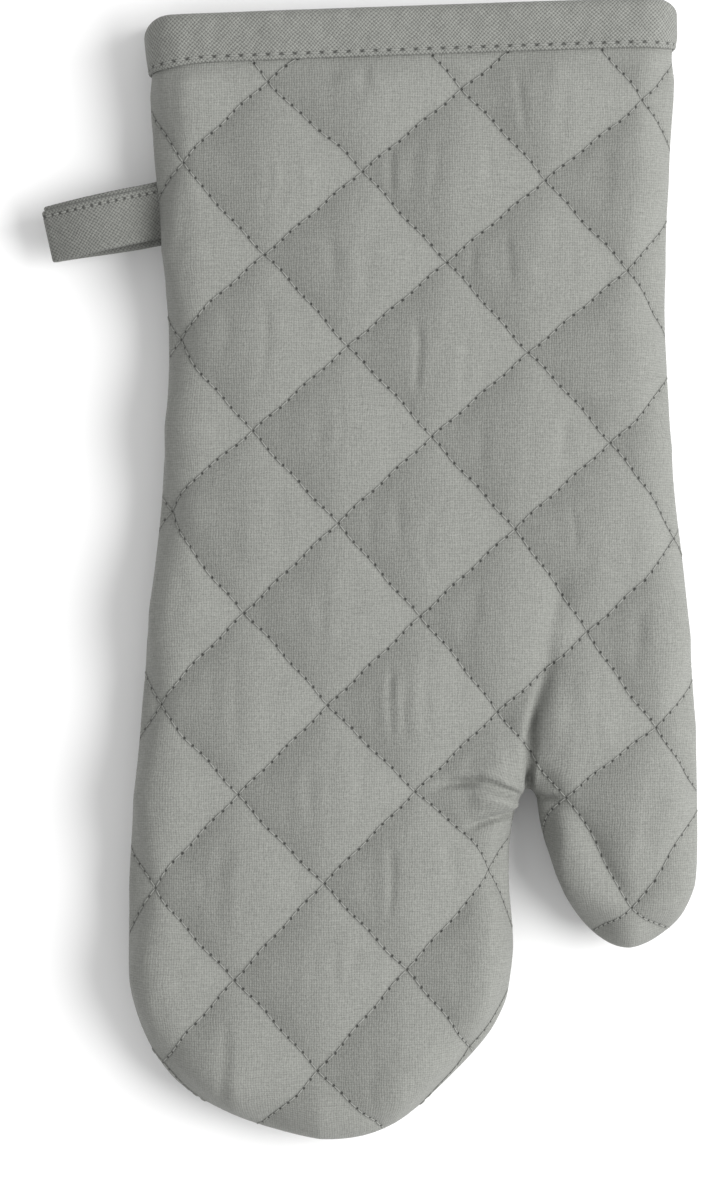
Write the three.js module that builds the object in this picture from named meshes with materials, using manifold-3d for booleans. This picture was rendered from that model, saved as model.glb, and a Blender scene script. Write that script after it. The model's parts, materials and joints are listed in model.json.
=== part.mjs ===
// Quilted oven mitt, lying flat with its palm side up.
// Millimetres. +X points to the thumb's side, +Y to the cuff and +Z up.
// Two quilted panels, each of outer cloth, wadding and lining, are sewn together round their rim.
// A bound cuff closes the raw edge, and a folded tape in the side seam is the hanging loop.
// Each panel is divided at the two lines where a worn mitt folds: across the fingers and
// across the thumb.

import * as THREE from 'three';
import { mergeVertices } from 'three/addons/utils/BufferGeometryUtils.js';
import Module from 'manifold-3d';

const wasm = await Module();
wasm.setup();

// ---- driving dimensions ----

const GAP = 0.3; // between neighbouring layers
const TOTAL_THICKNESS = 26;
const RIM_ROUNDING = 12; // width of the rounded rim, seen from above
const RIM_SEGMENTS = 3;
const SEAM_WALL = 1; // height of the upright wall at the side seam
const OUTER_CLOTH = 0.8;
const WADDING = 4;
const LINING = 0.6;

const CUFF_Y = 157; // the quilt's raw edge, on the line X = 0
const CUFF_TILT = THREE.MathUtils.degToRad(1.6); // the cuff rises towards the thumb's side
const CUFF_EXTENSION = 190; // the outline runs on past the cuff, where it is cut off

const TAPE_WIDTH = 14; // the cuff binding and the hanging loop
const TAPE_THICKNESS = 0.8;

const LOOP_HINGE = new THREE.Vector2(-61, 100.4); // middle of the line that the loop swings on
const LOOP_SLOPE = THREE.MathUtils.degToRad(12.6); // how far the loop points down towards the fingers
const LOOP_START = 2; // from the hinge line to the free part of the loop
const LOOP_LENGTH = 30;
const LOOP_THICKNESS = 1.4;
const LOOP_HALF_GAP = 3.4; // half the clear height between the loop's two legs
const LOOP_TAIL = 6; // reach of the ends sewn into the seam, from the hinge line
const LOOP_TAIL_OUT = 1.2; // how far those ends show outside the hinge line

const FOLD_CLEARANCE = THREE.MathUtils.degToRad(3); // left open when a fold is at its limit
const FOLD_SLIT = 0.6;
const FINGER_FOLD = {
	origin: new THREE.Vector2(0, -89),
	towards: new THREE.Vector2(0, -1),
	range: THREE.MathUtils.degToRad(45),
};
const THUMB_SLOPE = THREE.MathUtils.degToRad(34); // the thumb's fold line climbs to the right
const THUMB_FOLD = {
	origin: new THREE.Vector2(53.9, -76.6),
	towards: new THREE.Vector2(Math.sin(THUMB_SLOPE), -Math.cos(THUMB_SLOPE)),
	range: THREE.MathUtils.degToRad(45),
};
const NOTCH_X = 44.4; // the open notch between the fingers and the thumb
const FAR = 200; // beyond the mitt in every direction

// Depth of each layer below the mitt's surface. Under the cuff binding the quilt is squeezed
// inwards, so that the binding lies flush.
const BINDING_DEPTH = TAPE_THICKNESS + GAP;
const WADDING_FROM = OUTER_CLOTH + GAP;
const WADDING_TO = WADDING_FROM + WADDING;
const LINING_FROM = WADDING_TO + GAP;
const LINING_TO = LINING_FROM + LINING;
const BINDING_EDGE = CUFF_Y - TAPE_WIDTH + TAPE_THICKNESS;
const LAYERS = {
	outer: {
		from: 0,
		to: OUTER_CLOTH,
		cuffFrom: BINDING_DEPTH,
		cuffTo: BINDING_DEPTH + OUTER_CLOTH,
		stepY: BINDING_EDGE - GAP,
	},
	wadding: {
		from: WADDING_FROM,
		to: WADDING_TO,
		cuffFrom: WADDING_FROM + BINDING_DEPTH,
		cuffTo: WADDING_TO,
		stepY: BINDING_EDGE - 2 * GAP - OUTER_CLOTH,
	},
	lining: {
		from: LINING_FROM,
		to: LINING_TO,
		cuffFrom: LINING_FROM,
		cuffTo: LINING_TO,
		stepY: BINDING_EDGE,
	},
};

// ---- materials ----

function fabric(color, roughness) {
	return new THREE.MeshStandardMaterial({ color, roughness, metalness: 0 });
}

const MATERIALS = {
	outer: fabric(0x91938e, 0.92),
	wadding: fabric(0xe9e6dd, 1),
	lining: fabric(0xb9b7b0, 0.95),
	binding: fabric(0x8f918c, 0.9),
	loop: fabric(0x878984, 0.9),
};

// ---- solids ----

function toSolid(geometry) {
	const bare = geometry.clone();
	bare.deleteAttribute('normal');
	bare.deleteAttribute('uv');
	const merged = mergeVertices(bare, 1e-4);
	return new wasm.Manifold(new wasm.Mesh({
		numProp: 3,
		vertProperties: merged.getAttribute('position').array,
		triVerts: Uint32Array.from(merged.getIndex().array),
	}));
}

function toMesh(name, solid, material) {
	const { vertProperties, triVerts } = solid.getMesh();
	const geometry = new THREE.BufferGeometry();
	geometry.setAttribute('position', new THREE.BufferAttribute(vertProperties, 3));
	geometry.setIndex(new THREE.BufferAttribute(triVerts, 1));
	geometry.computeVertexNormals();
	const mesh = new THREE.Mesh(geometry, material);
	mesh.name = name;
	return mesh;
}

// A block between two corners, turned with the cuff about the vertical axis.
function block(low, high, turn = 0) {
	const geometry = new THREE.BoxGeometry(high.x - low.x, high.y - low.y, high.z - low.z);
	geometry.translate((low.x + high.x) / 2, (low.y + high.y) / 2, (low.z + high.z) / 2);
	geometry.rotateZ(turn);
	return toSolid(geometry);
}

// Everything between two distances along the cuff's own direction.
function cuffSlab(fromY, toY) {
	const low = new THREE.Vector3(-FAR, fromY, -FAR);
	const high = new THREE.Vector3(FAR, toY, FAR);
	return block(low, high, CUFF_TILT);
}

// The mitt's outline, seen from above, running on past the cuff.
function mittOutline() {
	const littleFingerSide = [
		[-62.2, 135], [-59.8, 104], [-57.1, 66], [-58.1, 28], [-62.2, -8], [-65.2, -50],
		[-67.7, -92], [-66.4, -122],
	];
	const fingertips = [
		[-55.5, -143], [-35.5, -155], [-11.5, -160], [5.5, -156.8], [21.6, -143.6], [35.6, -127],
	];
	const notchSide = [[40.3, -108], [39.1, -86], [40.1, -70]];
	const thumb = [
		[49, -77.5], [55.2, -93], [63.4, -103], [72, -106.2], [81.2, -103.2], [88.8, -95],
		[91.8, -78],
	];
	const thumbSide = [[91.2, -42], [88.4, -3], [84.2, 42], [82.4, 78], [83.6, 114], [85.2, 144]];
	const toPoint = ([x, y]) => new THREE.Vector2(x, y);
	const shape = new THREE.Shape();
	shape.moveTo(-64, CUFF_EXTENSION);
	shape.lineTo(-63.2, 152);
	shape.splineThru([...littleFingerSide, ...fingertips, ...notchSide, [42.2, -64]].map(toPoint));
	shape.bezierCurveTo(43.2, -61.2, 45.6, -61.2, 46.4, -64.6);
	shape.splineThru([...thumb, ...thumbSide].map(toPoint));
	shape.lineTo(86.4, CUFF_EXTENSION);
	return shape;
}

const OUTLINE = mittOutline();

// The mitt's full body, rounded at its rim and flat above and below, shrunk by a depth
// on every side.
function body(depth) {
	const geometry = new THREE.ExtrudeGeometry(OUTLINE, {
		depth: SEAM_WALL,
		curveSegments: 2,
		bevelEnabled: true,
		bevelSegments: RIM_SEGMENTS,
		bevelOffset: -RIM_ROUNDING,
		bevelSize: RIM_ROUNDING - depth,
		bevelThickness: (TOTAL_THICKNESS - SEAM_WALL) / 2 - depth,
	});
	geometry.translate(0, 0, (TOTAL_THICKNESS - SEAM_WALL) / 2);
	return toSolid(geometry);
}

function shell(from, to) {
	return body(from).subtract(body(to));
}

// One layer of the quilt all round the mitt, stepping inwards under the cuff binding.
function quiltLayer({ from, to, cuffFrom, cuffTo, stepY }) {
	const main = shell(from, to).subtract(cuffSlab(stepY, FAR));
	const step = shell(from, cuffTo).intersect(cuffSlab(stepY - OUTER_CLOTH, stepY));
	const cuff = shell(cuffFrom, cuffTo).intersect(cuffSlab(stepY - OUTER_CLOTH, CUFF_Y));
	return main.add(step).add(cuff);
}

// The tape that wraps the raw edge of the cuff: an outside leg, an edge and an inside leg.
function cuffBinding() {
	const insideFrom = LINING_TO + GAP;
	const insideTo = insideFrom + TAPE_THICKNESS;
	const edge = CUFF_Y + GAP;
	const end = edge + TAPE_THICKNESS;
	const outside = shell(0, TAPE_THICKNESS).intersect(cuffSlab(BINDING_EDGE, end));
	const inside = shell(insideFrom, insideTo).intersect(cuffSlab(BINDING_EDGE, end));
	const top = shell(0, insideTo).intersect(cuffSlab(edge, end));
	return outside.add(inside).add(top);
}

// ---- folds ----

const MID_Z = TOTAL_THICKNESS / 2;
const UP = new THREE.Vector3(0, 0, 1);

// Stands a profile drawn in (distance from a line, height) upright, and runs it along that line.
function alongLine(profile, { origin, towards }, length, options = {}) {
	const geometry = new THREE.ExtrudeGeometry(profile, { depth: length, bevelEnabled: false, ...options });
	geometry.translate(0, 0, -length / 2);
	const across = new THREE.Vector3(towards.x, towards.y, 0);
	const along = across.clone().cross(UP);
	const placed = new THREE.Matrix4().makeBasis(across, UP, along);
	placed.setPosition(origin.x, origin.y, MID_Z);
	geometry.applyMatrix4(placed);
	return toSolid(geometry);
}

// The open V that a fold closes: its point is just under the fold's axis.
function foldNotch(fold, length) {
	const halfAngle = (fold.range + FOLD_CLEARANCE) / 2;
	const halfTop = FOLD_SLIT / 2 + TOTAL_THICKNESS * Math.tan(halfAngle);
	const profile = new THREE.Shape();
	profile.moveTo(-FOLD_SLIT / 2, -TOTAL_THICKNESS);
	profile.lineTo(FOLD_SLIT / 2, -TOTAL_THICKNESS);
	profile.lineTo(FOLD_SLIT / 2, -FOLD_SLIT / 2);
	profile.lineTo(halfTop, TOTAL_THICKNESS);
	profile.lineTo(-halfTop, TOTAL_THICKNESS);
	profile.lineTo(-FOLD_SLIT / 2, -FOLD_SLIT / 2);
	return alongLine(profile, fold, length);
}

// Everything past a fold's line, upright.
function beyondFold(fold, length) {
	const profile = new THREE.Shape();
	profile.moveTo(0, -FAR);
	profile.lineTo(FAR, -FAR);
	profile.lineTo(FAR, FAR);
	profile.lineTo(0, FAR);
	return alongLine(profile, fold, length);
}

const leftOfNotch = block(new THREE.Vector3(-FAR, -FAR, -FAR), new THREE.Vector3(NOTCH_X, FAR, FAR));
const rightOfNotch = block(new THREE.Vector3(NOTCH_X, -FAR, -FAR), new THREE.Vector3(FAR, FAR, FAR));
const REGIONS = {
	fingers: beyondFold(FINGER_FOLD, 2 * FAR).intersect(leftOfNotch),
	thumb: beyondFold(THUMB_FOLD, 2 * FAR).intersect(rightOfNotch),
};
const NOTCHES = foldNotch(FINGER_FOLD, 2 * FAR).intersect(leftOfNotch)
	.add(foldNotch(THUMB_FOLD, 2 * FAR).intersect(rightOfNotch));

// ---- hanging loop ----

const LOOP_LINE = {
	origin: LOOP_HINGE,
	towards: new THREE.Vector2(-Math.cos(LOOP_SLOPE), -Math.sin(LOOP_SLOPE)),
};

// A tape bent back on itself: two legs bowed apart, meeting at the seam and at the far fold.
function hangingLoop() {
	const lowerLeg = (halfHeight, from, to, tip) => [
		[from, -tip], [LOOP_LENGTH * 0.3, -halfHeight], [LOOP_LENGTH * 0.62, -halfHeight],
		[to - 2, -LOOP_THICKNESS], [to, 0],
	].map(([x, y]) => new THREE.Vector2(x, y));
	const upperLeg = (lower) => lower.slice(0, -1).reverse().map(({ x, y }) => new THREE.Vector2(x, -y));
	const closedCurve = (path, lower) => {
		path.moveTo(lower[0].x, lower[0].y);
		path.splineThru([...lower.slice(1), ...upperLeg(lower)]);
		return path;
	};
	const crown = LOOP_HALF_GAP + LOOP_THICKNESS;
	const profile = closedCurve(new THREE.Shape(), lowerLeg(crown, LOOP_START, LOOP_LENGTH, LOOP_THICKNESS));
	const inside = lowerLeg(LOOP_HALF_GAP, LOOP_START + 3, LOOP_LENGTH - LOOP_THICKNESS, LOOP_THICKNESS / 4);
	profile.holes.push(closedCurve(new THREE.Path(), inside));
	return alongLine(profile, LOOP_LINE, TAPE_WIDTH, { curveSegments: 3 });
}

// A block on the seam's middle, from a distance inside the mitt to a distance outside it.
function seamBlock(inwards, outwards, halfHeight, width) {
	const profile = new THREE.Shape();
	profile.moveTo(-inwards, -halfHeight);
	profile.lineTo(outwards, -halfHeight);
	profile.lineTo(outwards, halfHeight);
	profile.lineTo(-inwards, halfHeight);
	return alongLine(profile, LOOP_LINE, width);
}

const LOOP_ENDS = seamBlock(LOOP_TAIL, LOOP_TAIL_OUT, LOOP_THICKNESS, TAPE_WIDTH);
const LOOP_POCKET = seamBlock(LOOP_TAIL + GAP, LOOP_LENGTH, LOOP_THICKNESS + GAP, TAPE_WIDTH + 2 * GAP);

// ---- the mitt ----

const SIDES = {
	front: block(new THREE.Vector3(-FAR, -FAR, MID_Z + GAP / 2), new THREE.Vector3(FAR, FAR, FAR)),
	back: block(new THREE.Vector3(-FAR, -FAR, -FAR), new THREE.Vector3(FAR, FAR, MID_Z - GAP / 2)),
};

const mitt = new THREE.Group();

for (const [layerName, layer] of Object.entries(LAYERS)) {
	const whole = quiltLayer(layer).subtract(NOTCHES).subtract(LOOP_POCKET);
	for (const [sideName, side] of Object.entries(SIDES)) {
		const half = whole.intersect(side);
		const fingers = half.intersect(REGIONS.fingers);
		const thumb = half.intersect(REGIONS.thumb);
		const palm = half.subtract(REGIONS.fingers).subtract(REGIONS.thumb);
		const name = `${layerName}_${sideName}`;
		mitt.add(toMesh(`${name}_palm`, palm, MATERIALS[layerName]));
		mitt.add(toMesh(`${name}_fingers`, fingers, MATERIALS[layerName]));
		mitt.add(toMesh(`${name}_thumb`, thumb, MATERIALS[layerName]));
	}
}
mitt.add(toMesh('cuff_binding', cuffBinding(), MATERIALS.binding));
mitt.add(toMesh('hanging_loop', hangingLoop(), MATERIALS.loop));
mitt.add(toMesh('hanging_loop_ends', LOOP_ENDS, MATERIALS.loop));

// The origin is the middle of the footprint, on the surface that the mitt lies on.
const box = new THREE.Box3().setFromObject(mitt);
const centre = box.getCenter(new THREE.Vector3());
mitt.position.set(-centre.x, -centre.y, -box.min.z);
mitt.updateMatrixWorld(true);

export default mitt;
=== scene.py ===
"""A quilted oven mitt, palm up: its cloth, wadding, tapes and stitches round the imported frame."""

import json
import math
from functools import cache

import bmesh
import bpy
import numpy as np
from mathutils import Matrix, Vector
from mathutils.geometry import delaunay_2d_cdt


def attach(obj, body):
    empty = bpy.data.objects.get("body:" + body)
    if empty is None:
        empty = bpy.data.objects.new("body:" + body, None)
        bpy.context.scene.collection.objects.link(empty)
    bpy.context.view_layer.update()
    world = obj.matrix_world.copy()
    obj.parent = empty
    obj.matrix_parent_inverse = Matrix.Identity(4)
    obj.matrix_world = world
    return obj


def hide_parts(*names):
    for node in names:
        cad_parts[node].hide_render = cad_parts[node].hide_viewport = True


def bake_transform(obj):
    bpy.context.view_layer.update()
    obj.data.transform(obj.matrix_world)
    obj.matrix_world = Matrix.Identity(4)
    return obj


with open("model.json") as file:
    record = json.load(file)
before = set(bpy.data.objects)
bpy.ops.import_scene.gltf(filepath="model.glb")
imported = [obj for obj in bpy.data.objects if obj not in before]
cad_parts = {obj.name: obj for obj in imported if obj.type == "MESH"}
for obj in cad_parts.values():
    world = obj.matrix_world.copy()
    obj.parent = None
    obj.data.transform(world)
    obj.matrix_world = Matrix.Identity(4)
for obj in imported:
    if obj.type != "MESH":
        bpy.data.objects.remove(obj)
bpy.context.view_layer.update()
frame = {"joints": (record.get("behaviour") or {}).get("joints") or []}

# ---- driving dimensions, in metres ----

MM = 0.001
JOINTS = {j["name"]: j for j in frame["joints"]}
FINGER_HINGE = np.array(JOINTS["finger_curl"]["pos_m"])
THUMB_AXIS = np.array(JOINTS["thumb_curl"]["axis"])
LOOP_HINGE = np.array(JOINTS["loop_swing"]["pos_m"])
LOOP_AXIS = np.array(JOINTS["loop_swing"]["axis"])
ORIGIN = FINGER_HINGE[:2] + np.array([0, 89]) * MM  # the outline's own origin, in the row frame

MID_Z = FINGER_HINGE[2]  # the side seam's height
RIM = 12 * MM  # width of the rounded rim, seen from above
HALF_HEIGHT = MID_Z - 0.8 * MM  # from the side seam to the stitched valleys' reference surface
CROWN = 1.2 * MM  # how much higher the palm's middle stands
CROWN_RISE = (8 * MM, 45 * MM)  # where the crown begins and where it is full, inside the outline
SEAM_GROOVE = 0.6 * MM
SEAM_GROOVE_WIDTH = 1.6 * MM
LEAST_HEIGHT = 0.2 * MM  # of the cloth over the floor

LINING_DEPTH = 5.6 * MM
WADDING_TOP = 1.3 * MM
WADDING_BOTTOM = 5.0 * MM
WADDING_LEAST = 0.15 * MM

CUFF_TOP = ORIGIN[1] + 157.2 * MM  # on the line x = 0
CUFF_SLOPE = math.tan(math.radians(2.0))
CUFF_CORNER = (9 * MM, 4.2 * MM)  # how wide and how deep the cuff's corners are rounded off
CUFF_INSET = 1 * MM  # from the cuff's top to the cloth's cut edge, inside the tape
TAPE_DROP = (17 * MM, 2.6 * MM)  # how wide and how deep the tape's lower edge drops at the left
TAPE_WIDTH = 13.6 * MM

DIAMOND_SIDE = 35.2 * MM  # between neighbouring quilting lines
VALLEY = 2.2 * MM
LOFT = 4.3 * MM
PUFF_FADE = 9 * MM  # from the seam, where the diamonds flatten
TAPE_SINK = 1.2 * MM  # how deep the tape presses the quilting in
CELLS = 20  # mesh cells between neighbouring quilting lines
INNER_CELLS = 8  # the same in the lining and the wadding

SIDES = {"front": 1, "back": -1}


# ---- lines and numbers ----

def catmull_rom(points, per_span=14):
    """A smooth curve through points, without its last point."""
    p = np.array(points, float)
    ends = np.vstack([p[:1], p, p[-1:]])
    t = np.linspace(0, 1, per_span, endpoint=False)[:, None]
    spans = []
    for a, b, c, d in zip(ends, ends[1:], ends[2:], ends[3:]):
        va, vc = (c - a) / 2, (d - b) / 2
        cubic, square = 2 * b - 2 * c + va + vc, 3 * c - 3 * b - 2 * va - vc
        spans.append(cubic * t**3 + square * t**2 + va * t + b)
    return np.vstack(spans)


def bezier(a, b, c, d, steps=16):
    a, b, c, d = (np.array(x, float) for x in (a, b, c, d))
    t = np.linspace(0, 1, steps, endpoint=False)[:, None]
    return (1 - t) ** 3 * a + 3 * (1 - t) ** 2 * t * b + 3 * (1 - t) * t**2 * c + t**3 * d


def unit(vectors):
    return vectors / np.linalg.norm(vectors, axis=1)[:, None]


def run_along(points):
    """How far along a line of points each one is."""
    return np.concatenate([[0], np.cumsum(np.linalg.norm(np.diff(points, axis=0), axis=1))])


def points_at(at, run, line):
    """The places on a line at some distances along it."""
    return np.stack([np.interp(at, run, column) for column in line.T], 1)


def resample(line, step):
    """The same line with points an even step apart."""
    run = run_along(line)
    return points_at(np.linspace(0, run[-1], max(2, round(run[-1] / step) + 1)), run, line)


def smooth(x, low, high):
    t = np.clip((x - low) / (high - low), 0, 1)
    return t * t * (3 - 2 * t)


# ---- the outline ----

CROTCH_AT = np.array([44.4, -62.0]) * MM  # from the outline's origin
CROTCH_ROUND = (5 * MM, 10 * MM)  # from it, where the seam turns sharply and where it doesn't
CROTCH_TIGHT = (3 * MM, 17 * MM)  # from it, where the rim has no spare cloth and where it has all
FEET_AT_ONCE = 4000  # points that are matched with the outline in one go, to spare memory


def mitt_outline():
    """The side seam, from the cuff down the little finger's side, round, and up the thumb's side."""
    hand = [
        (-64.6, 190), (-64.3, 152), (-62.9, 137), (-61.0, 112), (-58.0, 78), (-57.3, 58),
        (-58.7, 26), (-62.1, -8), (-65.8, -50), (-67.5, -70), (-68.4, -92), (-67.3, -121),
        (-56.3, -142.6), (-35.5, -155), (-11.5, -160), (5.5, -156.8), (21.6, -143.6), (35.6, -127),
        (40.3, -108), (39.1, -86), (40.1, -70), (42.2, -64),
    ]
    thumb = [
        (46.4, -64.6), (49, -77.5), (55.2, -93), (63.4, -103), (72, -106.2), (81.2, -103.2),
        (88.8, -95), (92.1, -78), (91.5, -42), (88.7, -3), (85.0, 28), (84.0, 50), (83.0, 78),
        (84.4, 114), (86.0, 142), (86.7, 155), (86.9, 190),
    ]
    crotch = bezier(hand[-1], (43.2, -61.2), (45.6, -61.2), thumb[0])
    line = np.vstack([catmull_rom(hand), crotch, catmull_rom(thumb), [thumb[-1]]])
    return ORIGIN + resample(line, 0.6) * MM


OUTLINE = mitt_outline()
STEPS = np.diff(OUTLINE, axis=0)
TANGENTS = unit(np.gradient(OUTLINE, axis=0))
OUTWARD = np.stack([TANGENTS[:, 1], -TANGENTS[:, 0]], 1)


def from_crotch(points):
    return np.hypot(*(points - ORIGIN - CROTCH_AT).T)


def feet(points):
    """For each point: the nearest place on the side seam, the outward direction there, and how far
    inside the seam the point is."""
    nearest = np.concatenate([
        ((OUTLINE**2).sum(1) - 2 * part @ OUTLINE.T).argmin(1)
        for part in np.array_split(points, len(points) // FEET_AT_ONCE + 1)
    ])
    best = np.full(len(points), np.inf)
    foot, outward = np.zeros_like(points), np.zeros_like(points)
    for segment in (np.maximum(nearest - 1, 0), np.minimum(nearest, len(STEPS) - 1)):
        step = STEPS[segment]
        share = ((points - OUTLINE[segment]) * step).sum(1) / (step**2).sum(1)
        share = np.clip(share, 0, 1)[:, None]
        place = OUTLINE[segment] + share * step
        gap = np.hypot(*(points - place).T)
        closer = gap < best
        best = np.where(closer, gap, best)
        foot[closer] = place[closer]
        normal = OUTWARD[segment] * (1 - share) + OUTWARD[segment + 1] * share
        outward[closer] = normal[closer]
    outward = unit(outward)
    sign = np.where(((points - foot) * outward).sum(1) > 0, -1, 1)
    straight = (foot - points) * (sign / np.maximum(best, 1e-9))[:, None]
    round_crotch = 1 - smooth(from_crotch(foot), *CROTCH_ROUND)
    share = (round_crotch * smooth(best, 0.1 * MM, 0.8 * MM))[:, None]
    return foot, unit(outward * (1 - share) + straight * share), best * sign


# ---- the cuff and the rounded rim ----

AT_CUFF = OUTLINE[np.abs(OUTLINE[:, 1] - (CUFF_TOP - 8 * MM)) < 1 * MM, 0]
CUFF_LEFT, CUFF_RIGHT = AT_CUFF.min(), AT_CUFF.max()


def cuff_edge(points):
    """Height of the cuff's top edge, rounded off at its two corners."""
    x = points[:, 0]
    width, drop = CUFF_CORNER
    depth = np.clip(np.minimum(x - CUFF_LEFT, CUFF_RIGHT - x), 0, width)
    return CUFF_TOP + x * CUFF_SLOPE - drop * (1 - depth / width) ** 2


ANGLES = np.linspace(0, math.pi / 2, 500)
ARC = run_along(np.stack([RIM * (1 - np.cos(ANGLES)), HALF_HEIGHT * np.sin(ANGLES)], 1))
RIM_ARC = ARC[-1]  # the cloth's length from the seam over the rim


def off_crotch(foot):
    """How far the rim's cloth is spread outwards: not at all at the crotch, where it has no room."""
    return smooth(from_crotch(foot), *CROTCH_TIGHT)


class Places:
    """Points of a panel, given on a flat map where the rim's cloth is squeezed into the outline."""

    def __init__(self, mapped):
        self.mapped = np.array(mapped, float)
        self.foot, self.outward, self.depth = feet(self.mapped)
        self.depth = np.maximum(self.depth, 0)
        self.in_rim = self.depth < RIM
        over_rim = self.depth / RIM * RIM_ARC
        self.from_seam = np.where(self.in_rim, over_rim, RIM_ARC + self.depth - RIM)
        spare = off_crotch(self.foot) * (RIM_ARC - RIM) * (1 - np.minimum(self.depth / RIM, 1))
        self.cloth = self.mapped + self.outward * spare[:, None]
        self.below_cuff = cuff_edge(self.mapped) - self.mapped[:, 1]

    def surface(self, side, inset=0.0, rise=0.0, groove=SEAM_GROOVE):
        """Where each point is: an inset below the mitt's plain surface and a rise above it."""
        angle = np.interp(self.from_seam, ARC, ANGLES)
        flat = (RIM - inset) * np.cos(angle)
        height = (HALF_HEIGHT - inset) * np.sin(angle)
        normal = unit(np.stack([np.cos(angle) / RIM, np.sin(angle) / HALF_HEIGHT], 1))
        groove = groove * np.exp(-self.from_seam / SEAM_GROOVE_WIDTH)
        inwards = (RIM - flat + groove - normal[:, 0] * rise)[:, None]
        plan = np.where(self.in_rim[:, None], self.foot - self.outward * inwards, self.mapped)
        crown = CROWN * smooth(self.depth, *CROWN_RISE) if side > 0 else 0
        z = height + crown * (1 - inset / HALF_HEIGHT) + normal[:, 1] * rise
        return np.column_stack([plan, MID_Z + side * z])


# ---- quilting lines ----

# Columns and rows of diamonds: at the origin, then for each x, y, xy and yy in decimetres.
COLUMNS = (0.203, 2.013, -0.111, -0.060, -0.026)
ROWS = (2.252, -0.030, -1.997, -0.064, -0.019)
SHIFT = {1: 0.0, -1: 0.37}  # the back panel was cut from another place in the quilted cloth
WOBBLE = 0.006  # how far the stitched lines waver, in columns or rows
DECIMETRE = 0.1
INVERSE_STEPS = 40

PULLS = [  # where the quilting is pulled askew: place and reach in decimetres, columns and rows
    (0.80, -0.45, 0.45, 0.063, -0.168),
    (0.73, -0.95, 0.22, -0.044, -0.244),
    (0.73, -0.95, 0.45, 0.263, 0.133),
    (0.36, -0.84, 0.32, -0.134, 0.059),
    (-0.29, 1.37, 0.22, 0.057, -0.023),
    (-0.60, 0.17, 0.22, 0.019, 0.055),
]


def columns_and_rows(x, y, side):
    """Diamonds across and down from the middle line's crossing, for places in decimetres."""
    column, row = (
        c + cx * x + cy * y + cxy * x * y + cyy * y * y
        for c, cx, cy, cxy, cyy in (COLUMNS, ROWS)
    )
    row = row + SHIFT[side]
    for px, py, reach, columns, rows in PULLS if side > 0 else ():
        near = np.exp(-((x - px) ** 2 + (y - py) ** 2) / reach**2)
        column = column + columns * near
        row = row + rows * near
    column = column + WOBBLE * np.sin(39 * x + 17 * y)
    return column, row + WOBBLE * np.sin(31 * y - 23 * x + 1)


def lattice(cloth, side):
    """Quilting coordinates of points on the cloth: whole numbers are stitched lines."""
    x, y = ((cloth - ORIGIN) * [side, 1] / DECIMETRE).T
    column, row = columns_and_rows(x, y, side)
    return column - row, column + row


def from_lattice(a, b, side):
    """The place on the cloth with those quilting coordinates."""
    a, b = np.broadcast_arrays(a, b)
    x, y = (a + b) / 4, (a - b) / 4
    for _ in range(INVERSE_STEPS):
        column, row = columns_and_rows(x, y, side)
        x = x + 0.8 * ((a + b) / 2 - column) / COLUMNS[1]
        y = y + 0.8 * ((b - a) / 2 - row) / ROWS[2]
    return ORIGIN + np.stack([x * side, y], -1) * DECIMETRE


def on_map(cloth):
    """Places of the cloth on the flat map, and how far they are inside the seam. Places well outside
    the mitt stay as they are."""
    low, high = OUTLINE.min(0) - RIM, OUTLINE.max(0) + RIM
    near = ((cloth > low) & (cloth < high)).all(1)
    mapped, from_seam = cloth.copy(), np.full(len(cloth), -1.0)
    foot, outward, depth = feet(cloth[near])
    spare = off_crotch(foot) * (RIM_ARC - RIM)
    in_rim = depth < RIM
    squeezed = np.where(in_rim, (spare + depth) / (1 + spare / RIM), depth)
    from_seam[near] = np.where(in_rim, squeezed / RIM * RIM_ARC, RIM_ARC - RIM + depth)
    mapped[near] = np.where(in_rim[:, None], foot - outward * squeezed[:, None], cloth[near])
    return mapped, from_seam


def off_line(value):
    """Distance from the nearest stitched line of one slant."""
    return np.abs(value - np.round(value)) * DIAMOND_SIDE


def off_lines(a, b):
    return np.minimum(off_line(a), off_line(b))


def pyramid(a, b, rounding=0.3, ridges=5):
    """A diamond's height from 0 at its stitched borders to 1, with four flanks and rounded ridges."""
    fall = [1 - off_line(v) / DIAMOND_SIDE * 2 for v in (a, b)]
    full = math.sqrt(1 + rounding**2) - rounding
    fall = [(np.sqrt(f * f + rounding**2) - rounding) / full for f in fall]
    return 1 - (fall[0] ** ridges + fall[1] ** ridges) ** (1 / ridges)


def under_tape(places, above=0.0, below=8 * MM):
    """From 1 where the binding holds the layers to 0 a little way below it."""
    return 1 - smooth(places.below_cuff, TAPE_WIDTH - above, TAPE_WIDTH + below)


def puff(places, side):
    """Height of the padded diamonds over the stitched valleys, before the cloth is simulated."""
    height = LOFT * pyramid(*lattice(places.cloth, side)) - VALLEY
    held = under_tape(places, 1 * MM, 7 * MM)
    return height * smooth(places.from_seam, 0, PUFF_FADE) * (1 - held) - TAPE_SINK * held


# ---- panels ----

def fold_line():
    """The line on the map that parts the thumb from the hand: from the crotch to the thumb's side."""
    crotch = OUTLINE[np.abs(OUTLINE - (ORIGIN + CROTCH_AT)).sum(1).argmin()]
    towards = -THUMB_AXIS[:2]
    reach = OUTLINE[len(OUTLINE) * 3 // 5:]
    aside = (reach - crotch) @ np.array([-towards[1], towards[0]])
    return crotch, reach[np.abs(aside).argmin()]


CROTCH, THUMB_ROOT = fold_line()
FOLD_TOWARDS = (THUMB_ROOT - CROTCH) / np.hypot(*(THUMB_ROOT - CROTCH))
FOLD_ACROSS = np.array([FOLD_TOWARDS[1], -FOLD_TOWARDS[0]])

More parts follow.
